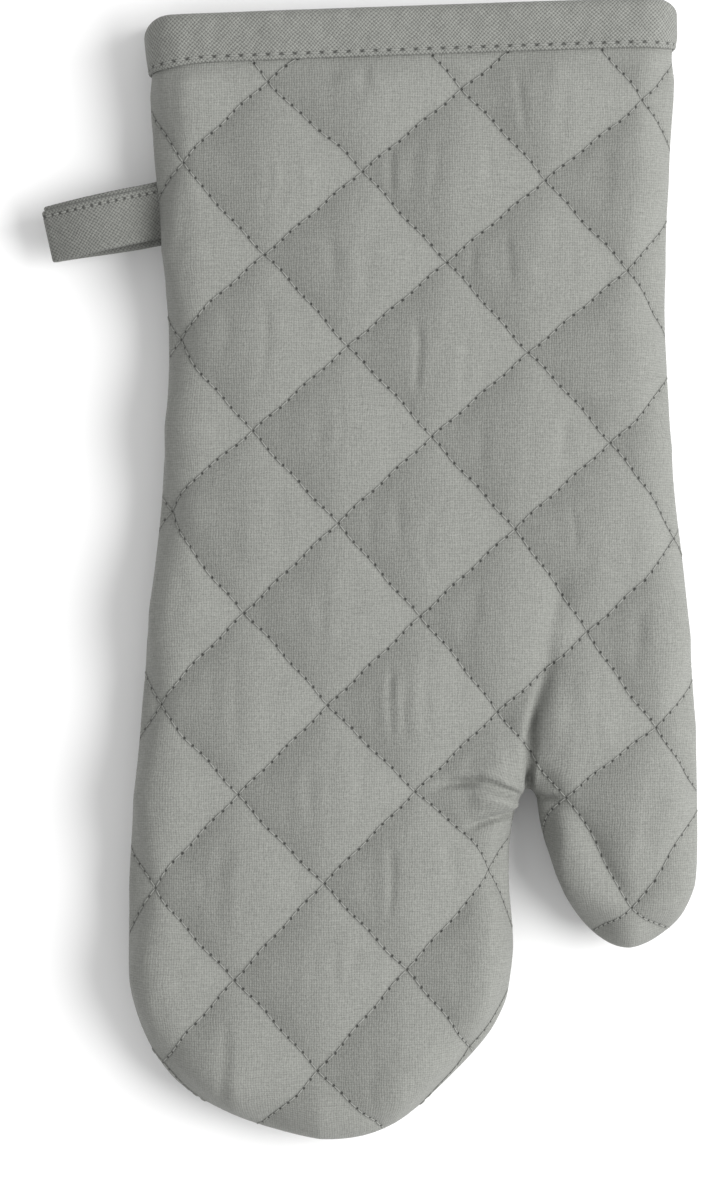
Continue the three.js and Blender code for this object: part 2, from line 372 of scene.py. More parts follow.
GRID = 14  # quilting lines that the grid reaches from the middle one
SEAM_GAP = 0.6  # between the grid and the seam, in mesh cells
FOLD_GAP = 0.45  # between the grid and the fold line, in mesh cells
PATCH = 20 * MM  # half the width of the square round the crotch that is filled in


def in_thumb(mapped):
    """Whether each place on the map is past the thumb's fold line."""
    away = mapped - CROTCH
    return (away @ FOLD_ACROSS > 0) & (mapped[:, 0] > CROTCH[0])


def clear_of_fold(mapped, step):
    away = np.abs((mapped - CROTCH) @ FOLD_ACROSS)
    return (away > FOLD_GAP * step) | (mapped[:, 0] < CROTCH[0])


def panel_border(step):
    """The panel's edge: the seam from the cuff round to the cuff, and straight back."""
    seam = resample(OUTLINE, step)
    seam = seam[seam[:, 1] < cuff_edge(seam) - CUFF_INSET]
    share = np.linspace(0, 1, round((seam[-1, 0] - seam[0, 0]) / step) + 1)[1:-1, None]
    top = seam[-1] * (1 - share) + seam[0] * share
    top[:, 1] = cuff_edge(top) - CUFF_INSET
    return np.vstack([seam, top])


def crotch_points(step, placed):
    """Places round the crotch, where the map stretches the quilting's own grid."""
    reach = np.arange(-PATCH, PATCH, step)
    grid = CROTCH + np.stack(np.meshgrid(reach, reach), -1).reshape(-1, 2)
    _, _, depth = feet(grid)
    loose = grid[(depth > SEAM_GAP * step) & clear_of_fold(grid, step)]
    placed = placed[((placed - CROTCH) ** 2).sum(1) < (1.2 * PATCH) ** 2]
    gap = np.sqrt(((loose[:, None] - placed[None]) ** 2).sum(2)).min(1)
    return loose[gap > 0.62 * step]


def panel_map(side, cells):
    """Triangles over a panel's map, with edges along the seam, the quilting and the fold line."""
    step = DIAMOND_SIDE / cells
    border = panel_border(step)
    steps = np.arange(-GRID * cells, GRID * cells + 1) / cells
    grid_a, grid_b = np.meshgrid(steps, steps, indexing="ij")
    mapped, from_seam = on_map(from_lattice(grid_a, grid_b, side).reshape(-1, 2))
    clear = from_seam > SEAM_GAP * step
    clear &= mapped[:, 1] < cuff_edge(mapped) - CUFF_INSET - 0.5 * step
    on_quilting = (off_lines(grid_a, grid_b) < 1e-6 * DIAMOND_SIDE).reshape(-1)
    clear &= clear_of_fold(mapped, step) | on_quilting
    number = np.full(len(mapped), -1)
    number[clear] = np.arange(clear.sum()) + len(border)
    number = number.reshape(grid_a.shape)

    placed = np.vstack([border, mapped[clear]])
    count = round(np.hypot(*(THUMB_ROOT - CROTCH)) / step)
    fold = CROTCH + np.linspace(0.02, 0.98, count)[:, None] * (THUMB_ROOT - CROTCH)
    points = np.vstack([placed, crotch_points(step, placed), fold])

    edges = [(i, (i + 1) % len(border)) for i in range(len(border))]
    ends = [int(np.hypot(*(border - end).T).argmin()) for end in (CROTCH, THUMB_ROOT)]
    chain = [ends[0], *range(len(points) - count, len(points)), ends[1]]
    edges += list(zip(chain, chain[1:]))
    for k in range(0, len(steps), cells):
        for line in (number[k], number[:, k]):
            edges += [
                (int(p), int(q)) for p, q in zip(line, line[1:])
                if p >= 0 and q >= 0 and np.hypot(*(points[p] - points[q])) < 2 * step
            ]

    scaled = [Vector(p / MM) for p in points]
    made = delaunay_2d_cdt(scaled, edges, [], 0, 1e-5, False)
    verts, faces = np.array([list(v) for v in made[0]]) * MM, np.array([list(f) for f in made[2]])
    middles = verts[faces].mean(1)
    _, _, depth = feet(middles)
    return verts, faces[(depth > 0) & (middles[:, 1] < cuff_edge(middles) - CUFF_INSET)]


# ---- meshes ----

def make_object(name, verts, faces):
    mesh = bpy.data.meshes.new(name)
    mesh.from_pydata([tuple(v) for v in verts], [], faces)
    mesh.polygons.foreach_set("use_smooth", [True] * len(faces))
    mesh.update()
    return add_object(name, mesh)


def add_object(name, data):
    obj = bpy.data.objects.new(name, data)
    bpy.context.scene.collection.objects.link(obj)
    return obj


def read(collection, attribute, size=3, kind=float):
    """One attribute of every item in a collection, a row for each item."""
    values = np.empty(len(collection) * size, kind)
    collection.foreach_get(attribute, values)
    return values.reshape(-1, size) if size > 1 else values


def edit_mesh(mesh, change):
    """Passes the mesh through bmesh for a change."""
    bm = bmesh.new()
    bm.from_mesh(mesh)
    change(bm)
    bm.to_mesh(mesh)
    bm.free()


def face_outwards(bm):
    bmesh.ops.recalc_face_normals(bm, faces=bm.faces)


def corner_vertices(mesh):
    return read(mesh.loops, "vertex_index", 1, int)


def sides_of(faces):
    return np.vstack([faces[:, [0, 1]], faces[:, [1, 2]], faces[:, [2, 0]]])


def refine(faces, *values):
    """Every triangle split in four, and values at the points, old and new."""
    edges, which = np.unique(np.sort(sides_of(faces), axis=1), axis=0, return_inverse=True)
    ab, bc, ca = which.reshape(3, -1) + len(values[0])
    a, b, c = faces.T
    split = np.vstack([np.stack(t, 1) for t in ((a, ab, ca), (b, bc, ab), (c, ca, bc), (ab, bc, ca))])
    return split, *[np.vstack([v, v[edges].mean(1)]) for v in values]


def relax(faces, values, times):
    """Values at the points, evened out between neighbours."""
    pairs = sides_of(faces)
    p, q = np.vstack([pairs, pairs[:, ::-1]]).T
    for _ in range(times):
        total = np.stack([np.bincount(p, v[q], len(v)) for v in values.T], 1)
        values = (values + total / np.bincount(p, minlength=len(values))[:, None]) / 2
    return values


def flat_panel(side, cells, least_edge=0.4 * MM):
    """A panel's points on its map, with nearly coincident ones joined, and its faces."""
    verts, faces = panel_map(side, cells)
    flat = make_object("flat", np.column_stack([verts, np.zeros(len(verts))]), faces.tolist())

    def join(bm):
        bmesh.ops.remove_doubles(bm, verts=bm.verts, dist=least_edge)
        face_outwards(bm)
        if sum(f.normal.z * f.calc_area() for f in bm.faces) * side < 0:
            bmesh.ops.reverse_faces(bm, faces=bm.faces)

    edit_mesh(flat.data, join)
    mapped = read(flat.data.vertices, "co")[:, :2]
    faces = corner_vertices(flat.data).reshape(-1, 3)
    bpy.data.objects.remove(flat)
    return mapped, faces


def write_uv(mesh, name, values):
    """A UV layer with one value for each face corner."""
    mesh.uv_layers.new(name=name).data.foreach_set("uv", values.ravel())


def flat_size(cloth, faces):
    """Width, length and area of the flat cloth that a piece was cut from."""
    a, b, c = cloth[faces].transpose(1, 0, 2)
    area = np.abs((b - a)[:, 0] * (c - a)[:, 1] - (b - a)[:, 1] * (c - a)[:, 0]).sum() / 2
    width, length = np.ptp(cloth[faces].reshape(-1, 2), axis=0)
    return (width, length), area


# ---- cloth simulation ----

SIM_SCALE = 20  # the solver is steadier on a large mesh
SIM_FRAMES = 24
SIM_CAP = 1.8 * MM
PRESSURE = 1.5
SLACK = (1.035, 1.010)  # how much more cloth there is than room for it, across and along
PIN_WIDTH = 0.25 * MM  # the cloth is held this near a stitched line
SWELL_AT_SEAM = (0, 12 * MM)  # from the seam, where the simulated swelling starts and is full
SWELL_AT_CROTCH = (9 * MM, 24 * MM)  # the same from the crotch
LIGHT_COTTON = {
    "quality": 6, "mass": 0.1, "tension_stiffness": 12, "compression_stiffness": 12,
    "shear_stiffness": 4, "bending_stiffness": 0.12, "tension_damping": 4,
    "compression_damping": 4, "shear_damping": 4, "bending_damping": 0.5, "air_damping": 3,
    "use_pressure": True, "uniform_pressure_force": PRESSURE,
}


def simulate(start, faces, pinned):
    """Swells the cloth between its stitches, and gives how far each point moves. The cloth has slack
    across the mitt, so it wrinkles lengthways."""
    puffed = make_object("puffed", start * SIM_SCALE, faces.tolist())
    puffed.shape_key_add(name="Basis")
    rest = puffed.shape_key_add(name="rest")
    rest.data.foreach_set("co", (start * SIM_SCALE * [*SLACK, 1]).ravel())
    pins = puffed.vertex_groups.new(name="pins")
    pins.add([int(i) for i in np.flatnonzero(pinned)], 1.0, "REPLACE")

    cloth = puffed.modifiers.new("cloth", "CLOTH")
    for name, value in LIGHT_COTTON.items():
        setattr(cloth.settings, name, value)
    cloth.settings.vertex_group_mass = "pins"
    cloth.settings.rest_shape_key = rest
    cloth.settings.effector_weights.gravity = 0
    cloth.collision_settings.use_collision = False
    cloth.collision_settings.use_self_collision = False
    cloth.point_cache.frame_start, cloth.point_cache.frame_end = 1, SIM_FRAMES

    for step in range(1, SIM_FRAMES + 1):
        bpy.context.scene.frame_set(step)
    held = puffed.evaluated_get(bpy.context.evaluated_depsgraph_get())
    moved = read(held.data.vertices, "co") / SIM_SCALE - start
    reach = np.linalg.norm(moved, axis=1)
    moved *= np.minimum(1, SIM_CAP / np.maximum(reach, 1e-9))[:, None]
    bpy.data.objects.remove(puffed)
    bpy.context.scene.frame_set(1)
    return moved


# ---- joints ----

KNUCKLES = (-63.5 * MM, -115 * MM)  # along y from the outline's origin
THUMB_BASE = (0.5 * MM, 35 * MM)  # from the fold line
BENDS = {  # the body that each part follows past a joint, and between where its cloth turns
    "hand": ("fingers", [(ORIGIN[0], ORIGIN[1] + y, MID_Z) for y in KNUCKLES]),
    "thumb": ("thumb", [(*(CROTCH + FOLD_ACROSS * reach), MID_Z) for reach in THUMB_BASE]),
}
NODES = {"hand": ("palm", "fingers"), "thumb": ("thumb",)}  # endings of the nodes it stands for


def dress(piece, material, part):
    """Gives a piece its material. A piece of a part that bends at a joint keeps its place baked into
    its mesh, and any other piece hangs on its part's body.
    """
    piece.data.materials.append(material)
    if part in BENDS:
        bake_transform(piece)
    else:
        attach(piece, part)


def cut_out(faces):
    """The points that some faces use, and the same faces through a list of just those points."""
    used, kept = np.unique(faces, return_inverse=True)
    return used, kept.reshape(-1, 3)


def parts_of(mapped):
    """The hand and the thumb, each with which of the places on the map are in it."""
    past_fold = in_thumb(mapped)
    return ("hand", ~past_fold), ("thumb", past_fold)


# ---- wrinkles ----

def line_wrinkle(plan, points, depth, width):
    """A groove along a broken line, fading out at both its ends."""
    line = np.array(points, float)
    run = run_along(line)
    best = np.full(len(plan), np.inf)
    along = np.zeros(len(plan))
    for start, end, passed, length in zip(line, line[1:], run, np.diff(run)):
        share = np.clip((plan - start) @ (end - start) / length**2, 0, 1)
        gap = np.hypot(*(plan - start - share[:, None] * (end - start)).T)
        along = np.where(gap < best, passed + share * length, along)
        best = np.minimum(best, gap)
    fade = smooth(np.minimum(along, run[-1] - along), -1 * MM, 0.35 * run[-1])
    return -depth * fade * np.exp(-((best / width) ** 2))


PALM_FOLDS = [  # points, depth and width, in millimetres
    # front of the crotch, where the thumb folds against the palm
    ([(50.5, -24), (48.2, -32), (45.8, -41), (44.6, -48), (44.2, -56), (44.2, -63), (44.2, -80)],
     3.2, 1.4),
    ([(46.6, -37), (45.2, -45), (44.5, -52), (44.2, -60), (44.2, -78)], 3.2, 0.95),
    ([(54.5, 3), (52, -8), (49.9, -18), (48.4, -32), (47, -40)], 1.5, 3.0),
    ([(42.3, -36), (41.1, -48), (40.6, -58)], -0.9, 3.0),
    ([(52.4, -30), (51, -44), (50.4, -57)], -0.8, 3.4),
    ([(15.2, -61.1), (22.3, -59.7), (30.1, -59.2), (37.2, -61.1), (41.7, -64.8)], 3.0, 1.35),
    ([(27.9, -64.8), (33.5, -63.9), (39.7, -65.1)], -1.2, 2.0),
    ([(25.9, -73), (32.1, -69.3), (36.3, -67.9), (42, -67.9)], 2.5, 1.25),
    ([(44.5, -61.7), (49, -63.7), (53.8, -63.9)], 1.7, 1.1),
    ([(51.8, -62.5), (57.2, -69), (64.5, -78.9), (73, -94.4)], 1.3, 2.1),
    ([(22.3, -78.9), (23.7, -84.5), (22.8, -90.7)], 0.35, 1.3),
    # lengthwise folds in the diamonds
    ([(40, 143.1), (41.7, 132.4), (43.9, 118.9)], 0.6, 1.3),
    ([(-1.7, 140.8), (-2.3, 130.1)], 0.3, 1.8),
    ([(5.6, 119.4), (5.4, 112.1), (6.2, 103.7)], 0.6, 1.3),
    ([(21.7, 123.9), (18.6, 115.5), (16.9, 104.2), (18.9, 92.4)], 0.45, 1.9),
    ([(32.4, 119.7), (32.7, 106.5)], 0.35, 1.5),
    ([(-11.5, 103.4), (-10.7, 90.1), (-9.3, 76.1)], 0.5, 1.8),
    ([(11, 93), (11.3, 81.7)], 0.25, 1.5),
    ([(37.7, 95.8), (38.6, 86.8), (40, 77.7)], 0.5, 1.2),
    ([(28.5, 91.3), (27.9, 81.7)], 0.35, 1.3),
    ([(55.5, 93.5), (56.3, 81.1)], 0.3, 1.7),
    ([(12.4, 72.7), (13.5, 64.2), (13, 55.8), (12.7, 46.8)], 0.8, 1.3),
    ([(-28.5, 71.8), (-26.8, 61.4)], 0.25, 1.8),
    ([(-14.4, 45.1), (-13.8, 33.8), (-12.7, 22)], 0.35, 2.0),
    ([(54.9, 44.5), (53.2, 36.6), (53.8, 29.3)], 0.5, 1.5),
    ([(-0.8, 17.5), (-0.3, 5.1)], 0.3, 1.7),
    ([(7.6, 20.8), (7.6, 13), (9, 3.9)], 0.35, 1.5),
    ([(55.2, 20.8), (56.9, 13), (57.2, 3.9)], 0.45, 0.9),
    ([(-13.8, -1.1), (-13.8, -13), (-14.9, -27.6)], 0.65, 2.0),
    ([(5.9, -23.7), (5.4, -36.1), (5.9, -50.7)], 0.85, 1.2),
    ([(-23.7, -33.8), (-23.7, -51.3)], -0.25, 1.5),
    ([(-45.1, -26.5), (-44.5, -38.3)], 0.3, 1.8),
    ([(-16.3, -51.3), (-17.2, -62), (-16.1, -73.8)], 0.6, 2.1),
    ([(-46.2, -76.6), (-46.8, -84.5), (-45.9, -94.4)], 0.45, 1.7),
    ([(5.1, -71), (5.9, -85.1), (4.8, -101.4)], 0.8, 1.4),
    ([(-9.9, -102.5), (-10.4, -110.4), (-9.6, -118.9)], 0.55, 1.4),
    ([(2.5, -101.4), (3.1, -118.3)], -0.3, 1.4),
    # dents across
    ([(61.1, 48.5), (71.6, 51.3), (84.8, 53.5)], 0.8, 2.4),
    ([(56.1, 2.8), (64.5, 3.7), (71.8, 6.8)], 0.6, 2.2),
    ([(-34.1, 75.2), (-25.1, 76.1)], 0.3, 2.0),
]


def below_tape(places):
    return 1 - under_tape(places, 0, 5 * MM)


def folds(places, side):
    """The palm's own folds, each where it lies on the map."""
    height = np.zeros(len(places.cloth))
    for points, depth, width in PALM_FOLDS if side > 0 else ():
        line = ORIGIN + np.array(points) * MM
        height += line_wrinkle(places.mapped, line, depth * MM, width * MM)
    return height * below_tape(places) * smooth(places.from_seam, 0, 5 * MM)


def relief(places, side, knee=2.6 * MM, limit=1.6 * MM):
    """Height of the padded diamonds and the folds over the mitt's plain surface. Past the knee it
    sinks ever more slowly, to the limit."""
    height = puff(places, side) + folds(places, side)
    return np.where(height < -knee, -knee + limit * np.tanh((height + knee) / limit), height)


WRINKLE_STRENGTH = {1: 0.7, -1: 1}
WRINKLES_EACH = 3  # in a diamond
WRINKLE_REACH = np.array([12, 8]) * MM  # from the diamond's middle, across and along
WRINKLE_LENGTHS = (13 * MM, 30 * MM)
WRINKLE_LEAN = 1.6 * MM
WRINKLE_DEPTHS = (0.1 * MM, 0.6 * MM)
WRINKLE_WIDTHS = (1.4 * MM, 3.6 * MM)
STITCHED_TAUT = (1.5 * MM, 7 * MM)  # from a stitched line, where the cloth can't wrinkle and can
SEAM_TAUT = (3 * MM, 14 * MM)  # the same from the seam


def wrinkles(places, side):
    """Small lengthwise wrinkles in the diamonds."""
    soft = np.zeros(len(places.cloth))
    rng = np.random.default_rng(8 + side)
    numbers = np.arange(-12, 12)
    diamonds = np.stack(np.meshgrid(numbers, numbers), -1).reshape(-1, 2) + 0.5
    centres = np.repeat(from_lattice(*diamonds.T, side), WRINKLES_EACH, axis=0)
    count, strength = len(centres), WRINKLE_STRENGTH[side]
    offsets = rng.uniform(-WRINKLE_REACH, WRINKLE_REACH, (count, 2))
    lengths = rng.uniform(*WRINKLE_LENGTHS, count)
    leans = rng.normal(0, WRINKLE_LEAN, count)
    depths = strength * rng.uniform(*WRINKLE_DEPTHS, count)
    widths = rng.uniform(*WRINKLE_WIDTHS, count)
    inside = feet(centres)[2] > -5 * MM
    kept = (values[inside] for values in (centres + offsets, lengths, leans, depths, widths))
    for place, length, lean, depth, width in zip(*kept):
        away = places.cloth - place
        near = (np.abs(away[:, 0]) < 3 * width + 3 * MM) & (np.abs(away[:, 1]) < length)
        x, y = away[near].T
        bow = (x - lean * (2 * y / length) ** 2 - 0.06 * y) / width
        shape = np.exp(-(bow**2)) - 0.35 * np.exp(-((bow / 2.4) ** 2))
        soft[near] -= depth * np.exp(-((2 * y / length) ** 4)) * shape
    off = off_lines(*lattice(places.cloth, side))
    soft *= smooth(off, *STITCHED_TAUT) * smooth(places.from_seam, *SEAM_TAUT)
    return soft * below_tape(places)


# ---- the quilted outer cloth ----

def hand_and_thumb(name, places, points, faces, layers, material, nodes, held):
    """A sheet through points, in a hand piece and a thumb piece that are shaded as one whole."""
    whole = make_object("whole", points, faces.tolist())
    normals = read(whole.data.vertex_normals, "vector")
    for part, keep in parts_of(places.mapped[faces].mean(1)):
        used, kept = cut_out(faces[keep])
        piece = make_object(f"{name}_{part}", points[used], kept.tolist())
        corners = used[corner_vertices(piece.data)]
        for layer, values in layers.items():
            write_uv(piece.data, layer, values[corners])
        piece.data.normals_split_custom_set_from_vertices(normals[used].tolist())
        dress(piece, material, part)
        flat, area = flat_size(places.cloth, faces[keep])
        if held == "laid":  # inside the padding, where it is smaller than its pattern
            area = sum(p.area for p in piece.data.polygons)
        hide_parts(*[f"{nodes}_{node}" for node in NODES[part]])
    bpy.data.objects.remove(whole)


def swelling(places, faces, side):
    """How far the simulated cloth moves, fading out at the seam and the crotch."""
    pinned = off_lines(*lattice(places.cloth, side)) < PIN_WIDTH
    pinned |= (places.from_seam < 0.3 * MM) | (places.below_cuff < TAPE_WIDTH - 1 * MM)
    moved = simulate(places.surface(side, 0, relief(places, side)), faces, pinned)
    off = np.hypot(*(places.mapped - CROTCH).T)
    fade = smooth(places.from_seam, *SWELL_AT_SEAM) * smooth(off, *SWELL_AT_CROTCH)
    return moved * fade[:, None]


def outer_cloth(face):
    """The quilted cloth of one face of the mitt."""
    side = SIDES[face]
    mapped, faces = flat_panel(side, CELLS)
    moved = swelling(Places(mapped), faces, side)
    faces, mapped, moved = refine(faces, mapped, moved)
    places = Places(mapped)
    points = places.surface(side, 0, relief(places, side) + wrinkles(places, side))
    points += relax(faces, moved, 2)
    points[:, 2] = np.maximum(points[:, 2], LEAST_HEIGHT)
    layers = {"quilt": np.stack(lattice(places.cloth, side), 1), "cloth": places.cloth}
    hand_and_thumb(
        f"quilt_{face}", places, points, faces, layers, quilted_cloth(),
        f"outer_{face}", "stretched",
    )


# ---- stitches ----

STITCHES = 11  # in a diamond's side
STITCH_ENDS = (0.10, 0.90)  # of the way from one hole to the next
STITCH_SEAT = 0.05 * MM  # of the thread's middle over the cloth
STITCHED_TO_SEAM = 1.2 * MM  # the quilting's last stitches are this far inside the seam
STITCHED_UNDER_TAPE = 2 * MM  # and this far under the binding
QUILTING_THREAD = (0.19 * MM, 0.16 * MM)  # its radius, and how high each stitch arches
TOPSTITCH_THREAD = (0.2 * MM, 0.12 * MM)
LOOP_THREAD = (0.17 * MM, 0.1 * MM)
RINGS, SPOKES = 7, 6


def stitch_rows(starts, ends, lifts, radius, arch):
    """Arched capsules from starts to ends, one for each stitch."""
    t = np.linspace(0, 1, RINGS)
    run = ends - starts
    aside = np.cross(unit(run), lifts)[:, None, None]
    rise = (lifts[:, None] * (np.sin(t * math.pi) ** 0.7 * arch)[:, None])[:, :, None]
    middles = (starts[:, None] + run[:, None] * t[:, None])[:, :, None] + rise
    thick = radius * np.sqrt(np.clip(1 - (2 * t - 1) ** 6, 0.03, 1))
    turns = (np.arange(SPOKES) / SPOKES * 2 * math.pi)[:, None]
    ring = np.cos(turns) * aside + np.sin(turns) * lifts[:, None, None]
    verts = middles + ring * thick[:, None, None]
    faces = [tuple(range(SPOKES))[::-1], tuple(range((RINGS - 1) * SPOKES, RINGS * SPOKES))]
    for k in range(0, (RINGS - 1) * SPOKES, SPOKES):
        for s in range(SPOKES):
            n = (s + 1) % SPOKES
            faces.append((k + s, k + n, k + SPOKES + n, k + SPOKES + s))
    firsts = range(0, RINGS * SPOKES * len(starts), RINGS * SPOKES)
    return verts.reshape(-1, 3), [tuple(v + first for v in f) for first in firsts for f in faces]


def tape_stitches(holes, pitch, shares, along, line):
    """Where the stitches after some holes of a row on a tape start, and where they end."""
    return (points_at((holes + share * pitch) % along[-1], along, line) for share in shares)


def thread_piece(name, part, *stitches):
    piece = make_object(name, *stitch_rows(*stitches))
    edit_mesh(piece.data, face_outwards)
    dress(piece, sewing_thread(), part)
    return piece


def quilting_thread(face):
    """The quilting's stitches on one face, in a hand piece and a thumb piece."""
    side = SIDES[face]
    lines = np.arange(1 - GRID, GRID)
    fixed, run = np.meshgrid(lines, np.arange(lines[0] * STITCHES, lines[-1] * STITCHES) / STITCHES)
    fixed, run = fixed.ravel(), run.ravel()
    ends = []
    inside = True
    for share in STITCH_ENDS:
        at = run + share / STITCHES
        cloth = np.vstack([from_lattice(fixed, at, side), from_lattice(at, fixed, side)])
        mapped, from_seam = on_map(cloth)
        inside &= from_seam > STITCHED_TO_SEAM
        inside &= mapped[:, 1] < cuff_edge(mapped) - TAPE_WIDTH + STITCHED_UNDER_TAPE
        ends.append(mapped)
    inside &= np.hypot(*(ends[1] - ends[0]).T) < 1.2 * DIAMOND_SIDE / STITCHES
    ends = [mapped[inside] for mapped in ends]
    for part, keep in parts_of(sum(ends) / 2):
        places = [Places(mapped[keep]) for mapped in ends]
        rows = [p.surface(side, 0, relief(p, side) + STITCH_SEAT) for p in places]
        lifts = unit(places[0].surface(side, 0, 1 * MM) - places[0].surface(side))
        thread_piece(f"quilting_thread_{face}_{part}", part, *rows, lifts, *QUILTING_THREAD)


# ---- inside the mitt ----

LINING_PUFF = 0.8 * MM
LINING_LIFT = 1.4 * MM  # how much nearer the outer cloth the lining is under the binding
WADDING_LIFT = 1.2 * MM  # the same for the wadding's inner face


def inner_height(places, side):
    """How far the quilting draws the inner layers outwards at its lines."""
    across = np.clip(off_lines(*lattice(places.cloth, side)) / (DIAMOND_SIDE / 2), 0, 1)
    drawn = LINING_PUFF * (1 - np.sin(across * math.pi / 2))
    return drawn * smooth(places.from_seam, 0, 8 * MM)


def lining(face):
    side = SIDES[face]
    mapped, faces = flat_panel(side, INNER_CELLS)
    places = Places(mapped)
    inset = LINING_DEPTH - LINING_LIFT * under_tape(places)
    points = places.surface(side, inset, inner_height(places, side))
    hand_and_thumb(
        f"inner_lining_{face}", places, points, faces[:, ::-1], {"cloth": places.cloth},
        lining_cloth(), f"lining_{face}", "laid",
    )


# How much lower the front wadding lies under the crotch's crease, and how wide.
CREASE_ROOM = (9 * MM, 8 * MM)
CROTCH_ROOM = (2.8 * MM, 28 * MM)


def wadding_height(places, side):
    """The wadding's top follows the cloth, and keeps clear of it where it is creased."""
    height = relief(places, side)
    if side > 0:
        crease = ORIGIN + np.array(PALM_FOLDS[0][0]) * MM
        height += line_wrinkle(places.mapped, crease, *CREASE_ROOM)
        depth, width = CROTCH_ROOM
        height -= depth * np.exp(-((places.mapped - CROTCH) ** 2).sum(1) / width**2)
    return np.maximum(height, WADDING_TOP - WADDING_BOTTOM + WADDING_LEAST)


def wadding(face):
    """The padding between outer cloth and lining, pinched thin along the quilting."""
    side = SIDES[face]
    mapped, faces = flat_panel(side, INNER_CELLS)
    for part, keep in parts_of(mapped[faces].mean(1)):
        used, kept = cut_out(faces[keep])
        places = Places(mapped[used])
        top = places.surface(side, WADDING_TOP, wadding_height(places, side))
        inset = WADDING_BOTTOM - WADDING_LIFT * under_tape(places)
        bottom = places.surface(side, inset, inner_height(places, side))
        directed = {(p, q) for f in kept.tolist() for p, q in zip(f, f[1:] + f[:1])}
        rim = [(p, q) for p, q in sorted(directed) if (q, p) not in directed]
        count = len(used)
        skirt = [(q, p, p + count, q + count) for p, q in rim]
        solid = kept.tolist() + (kept[:, ::-1] + count).tolist() + skirt
        piece = make_object(f"padding_{face}_{part}", np.vstack([top, bottom]), solid)
        dress(piece, cotton_wadding(), part)
        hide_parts(*[f"wadding_{face}_{node}" for node in NODES[part]])


# ---- folded tapes ----

TAPE_CLOTH = 0.34 * MM


def tape_piece(name, rows, section, run, pitch, stitched_at):
    """A folded tape through rows of points, one row for each point of its section, and its flat size.
    One UV layer has its bias-cut weave's directions, and one has how many stitches along and how
    many millimetres off a stitched row each place is."""
    rows = np.array(rows)
    section_run = run_along(section)
    dips = section_run[np.isclose(section[:, 0], stitched_at)]
    lines, count = rows.shape[:2]
    faces, corners = [], []
    for i in range(lines - 1):
        for j in range(len(run) - 1):
            k = (j + 1) % count
            faces.append((i * count + j, i * count + k, (i + 1) * count + k, (i + 1) * count + j))
            corners += [(i, j), (i, j + 1), (i + 1, j + 1), (i + 1, j)]
    sheet = make_object(name, rows.reshape(-1, 3), faces)
    across, along = np.array(corners).T
    s, w = run[along], section_run[across]
    off = np.abs(w[:, None] - dips).min(1) / MM
    write_uv(sheet.data, "cloth", np.stack([s + w, s - w], 1) / math.sqrt(2))
    write_uv(sheet.data, "stitches", np.stack([s / pitch, off], 1))

    solid = sheet.modifiers.new("thick", "SOLIDIFY")
    solid.thickness = TAPE_CLOTH
    solid.offset = 0
    bpy.context.view_layer.update()
    graph = bpy.context.evaluated_depsgraph_get()
    made = bpy.data.meshes.new_from_object(sheet.evaluated_get(graph))
    sheet.modifiers.clear()
    sheet.data = made
    return sheet, (section_run[-1], run[-1])


# ---- the cuff's binding ----

TAPE_PROUD = 0.35 * MM  # the tape's outer face over the mitt's plain surface
TAPE_THROUGH = 4.8 * MM  # from the tape's outer face to its inner face
HEM = 5 * MM
TOPSTITCH_UP = 1.35 * MM  # from the tape's lower edge
TOPSTITCH_PITCH = 3.8 * MM
TOPSTITCH_ENDS = (0.09, 0.91)  # of the way from one hole to the next
TOPSTITCH_IN = 0.24 * MM  # how deep the stitches draw the tape in
PUCKER = 0.09 * MM  # of the tape between two stitches
PUCKER_WIDTH = 1.6 * MM
MOUTH_COUNT = 190  # points across the cuff on each face
SIDE_DRAW = (1 * MM, 7 * MM)  # how far, and how near the side seams, the tape is drawn in
EVEN_SHARE = 0.65  # of the points' spacing across the cuff; the rest crowds them at the side seams
RIPPLES = [  # of the tape along its length: height and length in millimetres, slant, phase
    (0.10, 23, 0.02, 0.4),
    (0.07, 9.7, 0.05, 2.1),
    (0.05, 6.1, -0.06, 4.4),
]


def binding_section():
    """The folded tape from its outer hem over the cuff to its inner hem: how far below the cuff's top
    and how far inwards each point is."""
    low, half, hem = TAPE_WIDTH / MM, TAPE_THROUGH / MM / 2, HEM / MM
    above_edge = [
        (hem, 1.05), (2.5, 1.05), (0.7, 1.0), (0.15, 0.8), (0, 0.5), (0.15, 0.2), (0.6, 0.03),
        (1.35, TOPSTITCH_IN / MM), (2.1, 0.05), (3.2, 0),
    ]
    face = [(low - up, inwards) for up, inwards in above_edge]
    top = [(t, 0) for t in np.linspace(low - 5, half + 1, 6)]
    turns = np.linspace(0, math.pi, 11)
    turn = [(half * (1 - math.sin(x)), half * (1 - math.cos(x))) for x in turns]
    inside = [(t, 2 * half - d) for t, d in reversed(face + top[:-1])]
    return np.array(face + top + turn + inside) * MM


def round_the_mouth(below):
    """Places on the map across the cuff from left to right, a distance below its top."""
    even = np.linspace(0, 1, MOUTH_COUNT)
    share = EVEN_SHARE * even + (1 - EVEN_SHARE) * (1 - np.cos(even * math.pi)) / 2
    down = np.clip(below / TAPE_WIDTH, 0, 1)
    x = CUFF_LEFT + (CUFF_RIGHT - CUFF_LEFT) * share
    row = np.stack([x, np.zeros(MOUTH_COUNT)], 1)
    straight = CUFF_TOP + x * CUFF_SLOPE - below
    corner = straight + below - cuff_edge(row)
    width, drop = TAPE_DROP
    low_left = drop * (1 - np.clip((x - CUFF_LEFT) / width, 0, 1)) ** 1.5
    row[:, 1] = straight - corner * (1 - down) - low_left * down
    left, right = OUTLINE[len(OUTLINE) // 3:0:-1], OUTLINE[-len(OUTLINE) // 3:]
    seams = ((0, left), (-1, right))
    ends = [np.interp(row[end, 1], seam[:, 1], seam[:, 0]) for end, seam in seams]
    row[:, 0] = ends[0] + (ends[1] - ends[0]) * share
    return row


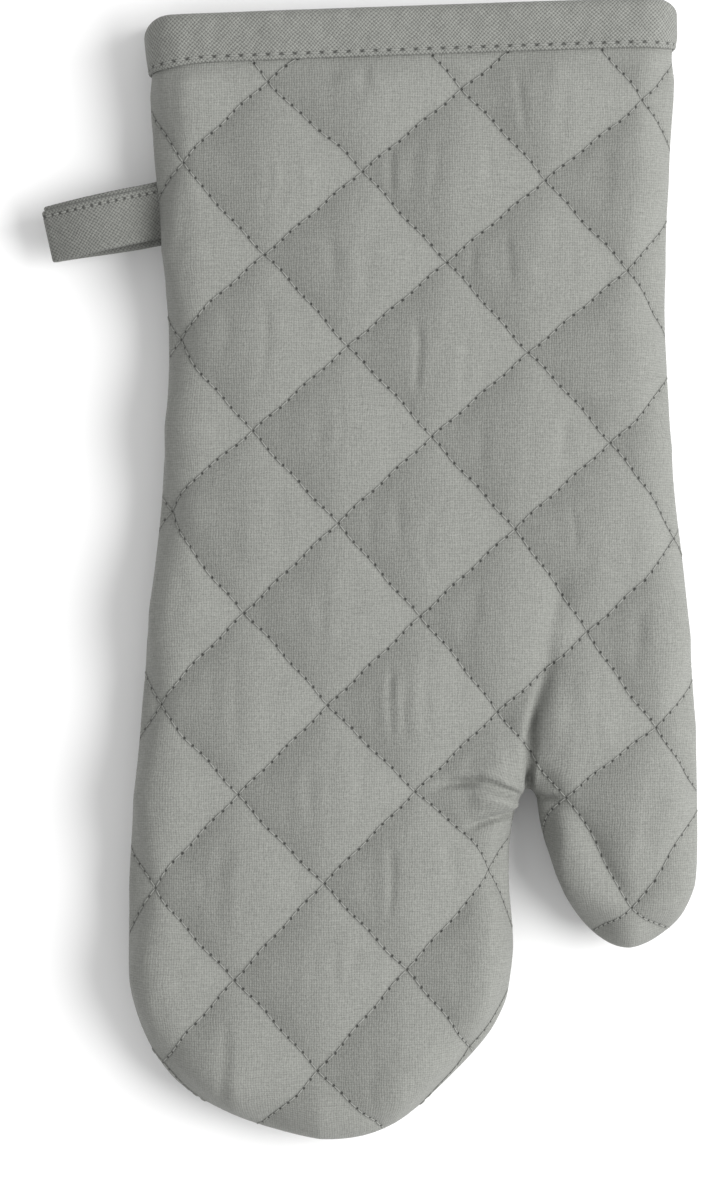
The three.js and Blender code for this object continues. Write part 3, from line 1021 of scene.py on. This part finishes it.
def mouth_ring(below, inwards, rise):
    """A closed line round the mouth: along the front from left to right and back behind."""
    places = Places(round_the_mouth(below))
    drawn_in = SIDE_DRAW[0] * np.exp(-((places.from_seam / SIDE_DRAW[1]) ** 2))
    rises = np.broadcast_to(rise, 2 * MOUTH_COUNT - 2) - np.append(drawn_in, drawn_in[-2:0:-1])
    front = places.surface(1, inwards, rises[:MOUTH_COUNT], groove=0)
    behind = np.append(rises[:1], rises[:MOUTH_COUNT - 2:-1])
    back = places.surface(-1, inwards, behind, groove=0)
    return np.vstack([front, back[-2:0:-1]])


def closed(ring):
    return np.vstack([ring, ring[:1]])


def tape_ripple(along, up):
    """Puckers of the tape between its stitches, and slow waves along it."""
    near_stitches = np.exp(-(((up - TOPSTITCH_UP) / PUCKER_WIDTH) ** 2))
    puckers = -np.cos(2 * math.pi * along / TOPSTITCH_PITCH) * near_stitches
    waves = sum(
        height * np.sin(2 * math.pi * (along / length + up * slant) / MM + phase)
        for height, length, slant, phase in RIPPLES
    )
    return PUCKER * puckers + waves * MM * smooth(up, 1 * MM, 4 * MM)


def binding():
    section = binding_section()
    along = run_along(closed(mouth_ring(TAPE_WIDTH / 2, 0, 0)))
    along *= round(along[-1] / TOPSTITCH_PITCH) * TOPSTITCH_PITCH / along[-1]
    rows = [
        mouth_ring(below, inwards, TAPE_PROUD + tape_ripple(along[:-1], TAPE_WIDTH - below))
        for below, inwards in section
    ]
    stitched_at = TAPE_WIDTH - TOPSTITCH_UP
    piece, flat = tape_piece("cuff_tape", rows, section, along, TOPSTITCH_PITCH, stitched_at)
    dress(piece, bias_cotton("bias tape cotton", TAPE_COLOUR), "palm")
    topstitching(along, stitched_at)
    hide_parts("cuff_binding")


def topstitching(along, below):
    """The row of stitches along the tape's lower edge, on both faces."""
    outer_face = TAPE_PROUD + TAPE_CLOTH / 2
    line = closed(mouth_ring(below, TOPSTITCH_IN, outer_face + 0.06 * MM))
    under = closed(mouth_ring(below, TOPSTITCH_IN + 1 * MM, TAPE_PROUD))
    holes = np.arange(round(along[-1] / TOPSTITCH_PITCH)) * TOPSTITCH_PITCH
    starts, ends = tape_stitches(holes, TOPSTITCH_PITCH, TOPSTITCH_ENDS, along, line)
    lifts = starts - points_at(holes % along[-1], along, under)
    run = ends - starts
    lifts -= run * ((lifts * run).sum(1) / (run * run).sum(1))[:, None]
    return thread_piece("cuff_stitches", "palm", starts, ends, unit(lifts), *TOPSTITCH_THREAD)


# ---- the hanging loop ----

LOOP_OUT = np.array([-LOOP_AXIS[1], LOOP_AXIS[0], 0])  # away from the mitt
LOOP_WIDTH = 14.4 * MM
LOOP_LAYER = 0.72 * MM  # from the folded tape's middle to its outer layers
LOOP_HEM = 6.5 * MM  # of the tape that is turned in along its top edge
LOOP_STITCH = 2.3 * MM
LOOP_STITCH_ENDS = (0.12, 0.88)  # of the way from one hole to the next
LOOP_STITCH_DOWN = 1.5 * MM  # from the tape's top edge
LOOP_LEG_SKEW = 1.8 * MM  # how far the lower leg stands out below the upper one at the mitt
LOOP_PATH = [  # away from the side seam, and height over it, in millimetres
    (-5, -0.9), (0, -1.05), (3, -1.5), (8, -2.8), (14, -3.7), (20, -3.6), (25, -2.5), (28, -1.35),
    (29.3, -0.95), (30.1, -0.1), (29.3, 0.85), (28, 1.35), (25, 2.6), (20, 4.0), (14, 4.4),
    (8, 3.5), (3, 1.8), (0, 1.15), (-5, 1.0),
]
LOOP_ROOT = (-1.5 * MM, 5 * MM)  # out from the side seam
BENDS["loop"] = ("loop", [LOOP_HINGE + LOOP_OUT * reach for reach in LOOP_ROOT])


def loop_section():
    """The folded tape across its width, from hem to hem: down from its top edge, outwards."""
    w, h, hem = LOOP_WIDTH / MM, LOOP_LAYER / MM, LOOP_HEM / MM
    near, edge, stitched = 0.3, 0.32, LOOP_STITCH_DOWN / MM
    upper = [(x, h - 2 * near) for x in (hem, 3, edge)] + [(0, h - near), (edge, h)]
    upper += [(1.0, h), (stitched, h - 0.12), (2.0, h - 0.02)]
    upper += [(x, h) for x in (3, 6, 9, 12, w - 0.5)]
    crease = [(w - 0.1, h * 0.7), (w, 0), (w - 0.1, -h * 0.7)]
    lower = [(x, -h) for x in (w - 0.5, 12, 9, 6, 3, 0, -0.9)] + [(-1.2, -h + near)]
    lower += [(x, -h + 2 * near) for x in (-0.9, 3, hem - 1)]
    return np.array(upper + crease + lower) * MM


def loop_line():
    """The loop's middle line out from the seam and back, its outward side, and its leg's skew."""
    fine = catmull_rom(LOOP_PATH, 8) * MM
    line = resample(np.vstack([fine, np.array(LOOP_PATH[-1:]) * MM]), 0.7 * MM)
    tangent = unit(np.gradient(line, axis=0))
    fold = line[:, 0].argmax()
    lower = np.arange(len(line)) < fold
    skew = LOOP_LEG_SKEW * (1 - smooth(line[:, 0], -2 * MM, line[fold, 0])) * lower
    return line, np.stack([tangent[:, 1], -tangent[:, 0]], 1), skew


def loop_points(down, out):
    """Points along the loop's line, a distance down across its width and out from its middle."""
    line, outward, skew = loop_line()
    place = line + outward * out
    across = (LOOP_WIDTH / 2 - down - skew)[:, None]
    points = LOOP_HINGE + place[:, :1] * LOOP_OUT + across * LOOP_AXIS
    points[:, 2] += place[:, 1]
    return points


def hanging_loop():
    section = loop_section()
    rows = [loop_points(down, out) for down, out in section]
    along = run_along(loop_line()[0])
    piece, flat = tape_piece("loop_of_tape", rows, section, along, LOOP_STITCH, LOOP_STITCH_DOWN)
    # Its darker colour is painted shade.
    dress(piece, bias_cotton("loop cotton painted darker", LOOP_SHADED_COLOUR), "loop")
    loop_stitches(along)
    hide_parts("hanging_loop", "hanging_loop_ends")


def loop_stitches(along):
    """The row that closes the folded tape along its top edge."""
    seat = loop_points(LOOP_STITCH_DOWN, LOOP_LAYER + TAPE_CLOTH / 2 - 0.02 * MM)
    lifted = loop_points(LOOP_STITCH_DOWN, LOOP_LAYER + 1 * MM)
    holes = np.arange(1, along[-1] / LOOP_STITCH - 1) * LOOP_STITCH
    starts, ends = tape_stitches(holes, LOOP_STITCH, LOOP_STITCH_ENDS, along, seat)
    up = unit(points_at(holes, along, lifted - seat))
    bare = (starts - LOOP_HINGE) @ LOOP_OUT > 0.5 * MM
    rows = starts[bare], ends[bare], up[bare]
    return thread_piece("loop_stitches", "loop", *rows, *LOOP_THREAD)


# ---- materials ----

CLOTH_COLOUR = (0.193, 0.1965, 0.182)
TAPE_COLOUR = (0.180, 0.1835, 0.170)
# The loop's cotton is painted darker than the binding's: painted shade for the mitt's shadow that it
# lies in.
LOOP_SHADED_COLOUR = (0.150, 0.153, 0.142)
THREAD_COLOUR = (0.25, 0.254, 0.236)
LINING_COLOUR = (0.36, 0.362, 0.345)
WADDING_COLOUR = (0.72, 0.71, 0.67)
FLOOR_COLOUR = (0.79, 0.79, 0.79)
WEAVE_PITCH = 0.70 * MM  # from thread to thread
TAPE_PITCH = 0.78 * MM
LINING_PITCH = 0.45 * MM


class Value:
    """A number in a material's nodes, for writing sums and products with."""

    def __init__(self, shader, socket):
        self.shader, self.socket = shader, socket

    def __add__(self, other):
        return self.shader.math("ADD", self, other)

    def __mul__(self, other):
        return self.shader.math("MULTIPLY", self, other)

    def __truediv__(self, other):
        return self.shader.math("DIVIDE", self, other)

    def swing(self, reach):
        """From 0 and 1 to either side of nothing."""
        return self.shader.math("MULTIPLY_ADD", self, 2 * reach, -reach)

    def darken(self, strength):
        """A factor that is 1 where this is 0, and less where it is 1."""
        return self.shader.math("MULTIPLY_ADD", self, -strength, 1.0)

    def spread(self, low, high, to_low, to_high):
        """Smoothly from one number to another, between a low and a high value."""
        node = self.shader.add("MapRange", self, low, high, to_low, to_high)
        node.interpolation_type = "SMOOTHSTEP"
        return Value(self.shader, node.outputs[0])


class Shader:
    """A material with short ways to add nodes to it."""

    def __init__(self, name, roughness, sheen, specular=0.25):
        self.material = bpy.data.materials.new(name)
        self.material.use_nodes = True
        self.tree = self.material.node_tree
        self.surface = self.tree.nodes["Principled BSDF"]
        self.surface.inputs["Roughness"].default_value = roughness
        self.surface.inputs["Specular IOR Level"].default_value = specular
        if sheen:
            self.surface.inputs["Sheen Weight"].default_value = sheen
            self.surface.inputs["Sheen Roughness"].default_value = 0.45

    def put(self, value, socket):
        if isinstance(value, Value):
            self.tree.links.new(value.socket, socket)
        else:
            socket.default_value = value

    def add(self, kind, *values):
        node = self.tree.nodes.new("ShaderNode" + kind)
        for value, socket in zip(values, node.inputs):
            self.put(value, socket)
        return node

    def math(self, operation, *values):
        node = self.add("Math", *values)
        node.operation = operation
        return Value(self, node.outputs[0])

    def uv(self, name):
        """The two coordinates of a UV layer."""
        node = self.add("UVMap")
        node.uv_map = name
        parts = self.add("SeparateXYZ", Value(self, node.outputs[0]))
        return Value(self, parts.outputs[0]), Value(self, parts.outputs[1])

    def place(self):
        return Value(self, self.add("TexCoord").outputs["Object"])

    def noise(self, vector, scale, detail=2.0, roughness=0.5):
        node = self.add("TexNoise")
        if isinstance(vector, tuple):
            vector = Value(self, self.add("CombineXYZ", *vector).outputs[0])
        settings = {"Vector": vector, "Scale": scale, "Detail": detail, "Roughness": roughness}
        for name, value in settings.items():
            self.put(value, node.inputs[name])
        return Value(self, node.outputs["Fac"])

    def finish(self, colour, factor, height=None):
        """The material, with its colour made lighter or darker by a factor, and its bumps' height in
        millimetres."""
        node = self.tree.nodes.new("ShaderNodeVectorMath")
        node.operation = "SCALE"
        node.inputs[0].default_value = colour
        self.put(factor, node.inputs["Scale"])
        self.put(Value(self, node.outputs[0]), self.surface.inputs["Base Color"])
        if height:
            bump = self.tree.nodes.new("ShaderNodeBump")
            bump.inputs["Strength"].default_value = 1.0
            bump.inputs["Distance"].default_value = 1 * MM
            self.put(height, bump.inputs["Height"])
            self.put(Value(self, bump.outputs[0]), self.surface.inputs["Normal"])
        return self.material


def plain_weave(shader, u, v):
    """Height of a plain weave at thread coordinates: 0 in the gaps to 1 on the threads."""
    heights = []
    for across, along, offset in ((u, v, 0.0), (v, u, 1.0)):
        profile = shader.math("SINE", shader.math("FRACT", across) * math.pi)
        turn = (along + -0.5) + (shader.math("FLOOR", across) + offset)
        over = shader.math("COSINE", turn * math.pi)
        heights.append(profile * shader.math("MULTIPLY_ADD", over, 0.5, 0.5))
    return shader.math("MAXIMUM", *heights)


def woven(shader, pitch, streaks):
    """A plain weave's height, and how its yarns' thickness and shade vary."""
    thread_u, thread_v = (x / pitch for x in shader.uv("cloth"))
    sway = shader.noise((thread_u, thread_v), 0.13).swing(0.8)
    thread_u, thread_v = thread_u + sway, thread_v + sway
    height = plain_weave(shader, thread_u, thread_v)
    slubs = [
        shader.noise((across, along * 0.11), 0.9, 2.0, 0.6).swing(1.2 * streaks)
        for across, along in ((thread_u, thread_v), (thread_v, thread_u))
    ]
    fluff = shader.noise((thread_u, thread_v), 0.85, 3.0, 0.75).swing(0.4)
    return height, slubs[0] + slubs[1] + fluff


def needle_holes(shader, off, step, width):
    """1 in the middle of each stitch's hole, from how far off its row and along it a place is."""
    away = shader.math("SQRT", shader.math("POWER", off, 2.0) + shader.math("POWER", step, 2.0))
    return away.spread(0.15, width, 1.0, 0.0)


@cache
def quilted_cloth():
    """Grey cotton in a plain weave with slubs, pulled in and pierced along the quilting."""
    shader = Shader("quilted cotton", 0.86, 0.12)
    height, shade = woven(shader, WEAVE_PITCH, 0.10)
    a, b = shader.uv("quilt")
    holes, valleys = [], []
    for across, along in ((a, b), (b, a)):
        off = shader.math("PINGPONG", across, 0.5) * (DIAMOND_SIDE / MM)
        step = shader.math("PINGPONG", along * float(STITCHES), 0.5)
        holes.append(needle_holes(shader, off, step * (DIAMOND_SIDE / STITCHES / MM), 0.55))
        # How near each stitched line a place is, which sets the painted shade along the valleys.
        valleys.append(off.spread(0.1, 1.1, 1.0, 0.0))
    holes, painted_valley_shade = (shader.math("MAXIMUM", *both) for both in (holes, valleys))
    patches = shader.noise(shader.place(), 38.0, 4.0, 0.6).swing(0.06)
    # Darker in the weave's gaps than on its threads: painted shade between the threads.
    factor = (shade + 1.0 + patches) * height.spread(0.0, 0.7, 0.80, 1.05)
    # Painted shade: darker along the stitched valleys and in the needle holes.
    factor = factor * painted_valley_shade.darken(0.17) * holes.darken(0.66)
    return shader.finish(CLOTH_COLOUR, factor, height * 0.09 + shade * 0.25 + holes * -0.4)


@cache
def bias_cotton(name, colour):
    """The same cotton cut on the bias, ironed flatter."""
    shader = Shader(name, 0.84, 0.12)
    height, shade = woven(shader, TAPE_PITCH, 0.12)
    stitch, off = shader.uv("stitches")
    holes = needle_holes(shader, off, shader.math("PINGPONG", stitch, 0.5) * 1.9, 0.62)
    patches = shader.noise(shader.place(), 60.0, 3.0, 0.6).swing(0.07)
    # Darker in the weave's gaps than on its threads: painted shade between the threads.
    factor = (shade + 1.0 + patches) * height.spread(0.0, 0.75, 0.48, 1.16)
    relief = height * 0.14 + shade * 0.2 + holes * -0.3
    # Painted shade in the needle holes.
    return shader.finish(colour, factor * holes.darken(0.6), relief)


@cache
def lining_cloth():
    """Finer, paler cotton inside."""
    shader = Shader("lining cotton", 0.88, 0.1)
    height, shade = woven(shader, LINING_PITCH, 0.08)
    # Darker in the weave's gaps than on its threads: painted shade between the threads.
    factor = (shade + 1.0) * height.spread(0.0, 0.6, 0.85, 1.0)
    return shader.finish(LINING_COLOUR, factor, height * 0.05)


@cache
def cotton_wadding():
    """Off-white felted fibre."""
    shader = Shader("cotton wadding", 0.95, 0.3)
    fibres = shader.noise(shader.place(), 900.0, 4.0, 0.7) * 0.2
    clumps = shader.noise(shader.place(), 120.0, 3.0, 0.6)
    return shader.finish(WADDING_COLOUR, fibres + clumps * 0.2 + 0.8, fibres + clumps * 0.6)


@cache
def sewing_thread():
    """Twisted cotton thread, a little paler than the cloth."""
    shader = Shader("sewing thread", 0.7, 0.2, 0.35)
    ply = shader.noise(shader.place(), 2600.0, 2.0, 0.6)
    dirt = shader.noise(shader.place(), 90.0, 3.0, 0.5).swing(0.15)
    return shader.finish(THREAD_COLOUR, ply * 0.5 + 0.6 + dirt, ply * 0.08)


def floor_paint():
    shader = Shader("floor paint", 0.9, 0, 0.1)
    shader.surface.inputs["Emission Color"].default_value = (1, 1, 1, 1)
    shader.surface.inputs["Emission Strength"].default_value = 0.03
    grain = shader.noise(shader.place(), 4.0, 3.0, 0.5)
    return shader.finish(FLOOR_COLOUR, grain.spread(0.3, 0.7, 0.995, 1.005))


# ---- studio ----

CAMERA_HEIGHT = 1.5
SENSOR = 36  # millimetres
VIEW_CENTRE = ORIGIN + np.array([-4.37, -8.45]) * MM
VIEW_LENGTH = 338.04 * MM  # of the picture's long side, at the side seam's height
FLOOR_HALF = 6
SKY = 0.81  # strength of the even light from all round
KEY_PLACE = (1.5, -0.05, 1.35)
KEY_SIZE = 1.7
KEY_POWER = 62


def camera():
    data = bpy.data.cameras.new("camera")
    data.sensor_width = SENSOR
    data.lens = SENSOR * (CAMERA_HEIGHT - MID_Z) / VIEW_LENGTH
    data.clip_end = 20
    view = add_object("camera", data)
    view.location = (*VIEW_CENTRE, CAMERA_HEIGHT)
    bpy.context.scene.camera = view


def studio():
    corners = [(x * FLOOR_HALF, y * FLOOR_HALF, 0) for x, y in ((-1, -1), (1, -1), (1, 1), (-1, 1))]
    floor = make_object("floor", corners, [(0, 1, 2, 3)])
    floor.data.materials.append(floor_paint())
    world = bpy.data.worlds.new("studio")
    world.use_nodes = True
    sky = world.node_tree.nodes["Background"]
    sky.inputs["Color"].default_value = (1, 1, 1, 1)
    sky.inputs["Strength"].default_value = SKY
    bpy.context.scene.world = world
    data = bpy.data.lights.new("key", "AREA")
    data.shape = "DISK"
    data.size = KEY_SIZE
    data.energy = KEY_POWER
    key = add_object("key", data)
    key.location = KEY_PLACE
    key.rotation_euler = (-Vector(KEY_PLACE)).to_track_quat("-Z", "Y").to_euler()
    bpy.context.scene.view_settings.view_transform = "Standard"


# ---- the mitt ----

camera()
studio()
for face in SIDES:
    outer_cloth(face)
    quilting_thread(face)
    wadding(face)
    lining(face)
binding()
hanging_loop()
